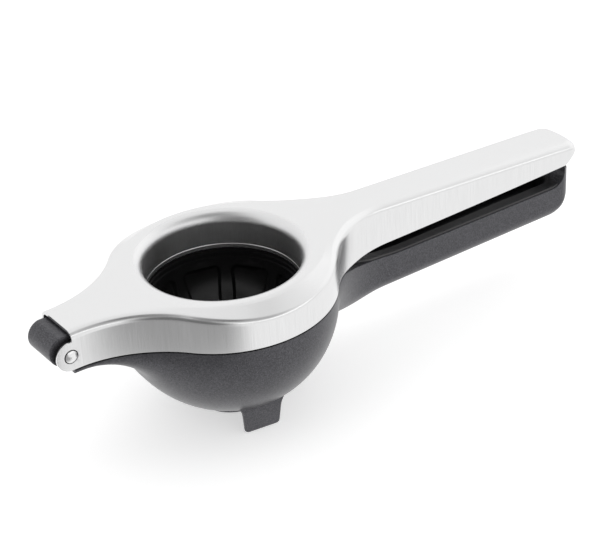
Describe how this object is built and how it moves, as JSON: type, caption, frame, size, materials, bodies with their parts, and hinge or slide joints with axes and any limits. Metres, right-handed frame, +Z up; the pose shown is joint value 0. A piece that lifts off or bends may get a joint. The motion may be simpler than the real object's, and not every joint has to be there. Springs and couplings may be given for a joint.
{
  "type": "hinged lemon squeezer",
  "caption": "Two-arm hinged citrus press: stamped steel ring arm with a press cup over a cast bowl arm with strainer, outlet and lugs.",
  "frame": {"origin": "bottom centre of the bounding box of the closed squeezer, on the surface that it stands on", "axes": "+X along the handles away from the hinge, +Z up through the ring, +Y completes the frame"},
  "size_m": [0.244, 0.084, 0.062],
  "materials": {
    "stainless": "satin",
    "anthracite_casting": "satin",
    "gloss_black": "gloss",
    "black_nylon": "satin",
    "liner_grey": "satin"
  },
  "bodies": {
    "cast_arm": {"lower_arm": "anthracite_casting", "strainer_insert": "black_nylon", "handle_liner": "liner_grey", "hinge_pin": "stainless"},
    "steel_arm": {"upper_arm": "stainless", "press_cup": "gloss_black", "near_hinge_bush": "black_nylon", "far_hinge_bush": "black_nylon"}
  },
  "joints": [
    {"name": "arm_hinge", "type": "hinge", "parent": "cast_arm", "child": "steel_arm", "pos_m": [-0.1151, 0, 0.0527], "axis": [0, -1, 0], "range_deg": [0, 110]}
  ]
}
